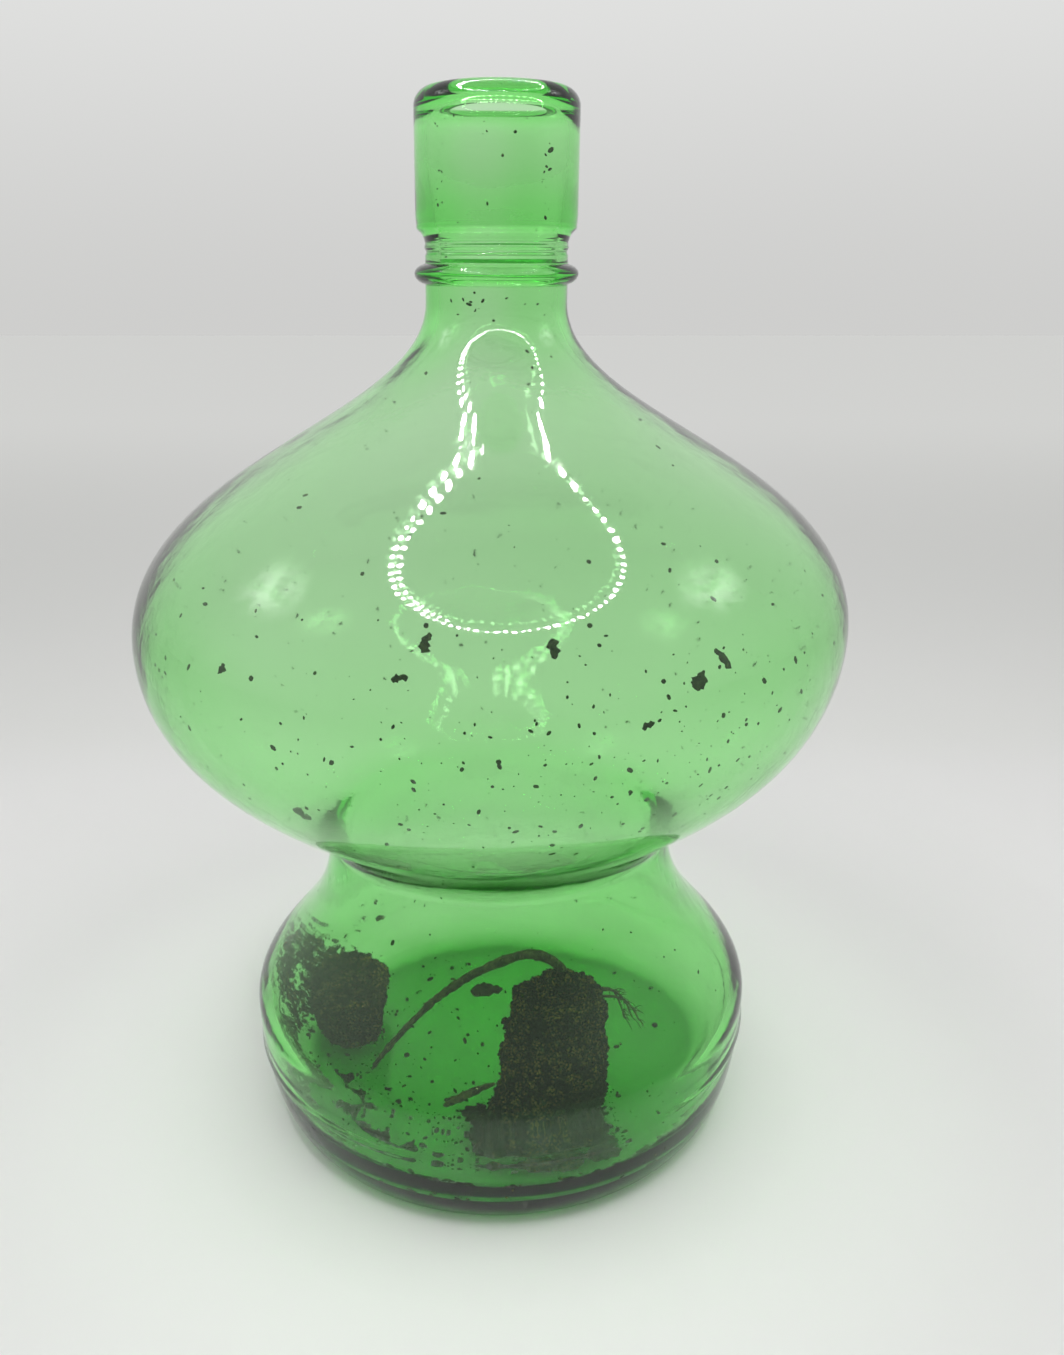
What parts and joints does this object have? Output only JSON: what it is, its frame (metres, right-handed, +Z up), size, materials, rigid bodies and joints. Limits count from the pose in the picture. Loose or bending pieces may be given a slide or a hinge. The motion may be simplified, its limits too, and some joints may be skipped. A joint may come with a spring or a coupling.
{
  "type": "green glass bottle garden vessel",
  "caption": "Waisted green glass vessel with a wide bulb over a foot chamber and a thick ringed neck, holding dried root plugs, a bent stem and crumbs.",
  "frame": {"origin": "centre of the flat foot, on the surface that the vessel stands on", "axes": "+Z up along the vessel's axis, out of the mouth; +X to the right and -Y towards the viewer who sees the standing root plug at the front"},
  "size_m": [0.272, 0.272, 0.4],
  "materials": {
    "green_glass": "clear gloss, pale green in thin walls and deep green in thick ones",
    "dry_soil": "rough, crumbling, dry",
    "dry_stem": "matt dead stem",
    "dry_leaf": "matt shrivelled leaf"
  },
  "bodies": {
    "vessel": {"glass_body": "green_glass", "applied_collar": "green_glass", "string_ring": "green_glass", "soil_drift": "dry_soil", "crumb_1": "dry_soil", "crumb_2": "dry_soil", "crumb_3": "dry_soil", "crumb_4": "dry_soil", "crumb_5": "dry_soil", "crumb_6": "dry_soil", "wall_flake_1": "dry_leaf", "wall_flake_2": "dry_leaf", "wall_flake_3": "dry_leaf", "wall_flake_4": "dry_leaf", "wall_flake_5": "dry_leaf", "wall_flake_6": "dry_leaf", "wall_flake_7": "dry_leaf", "wall_flake_8": "dry_leaf"},
    "standing_plug": {"standing_root_plug": "dry_soil", "dead_crown": "dry_soil", "bent_stem": "dry_stem", "broken_twig": "dry_stem", "leaf_scrap": "dry_leaf", "root_strand_1": "dry_stem", "root_strand_2": "dry_stem", "root_strand_3": "dry_stem"},
    "lying_plug": {"lying_root_plug": "dry_soil"}
  },
  "joints": [
    {"name": "standing_plug_lift", "type": "slide", "parent": "vessel", "child": "standing_plug", "axis": [0, 0, 1], "range_m": [0, 0.012]},
    {"name": "lying_plug_lift", "type": "slide", "parent": "vessel", "child": "lying_plug", "axis": [0, 0, 1], "range_m": [0, 0.03]}
  ]
}
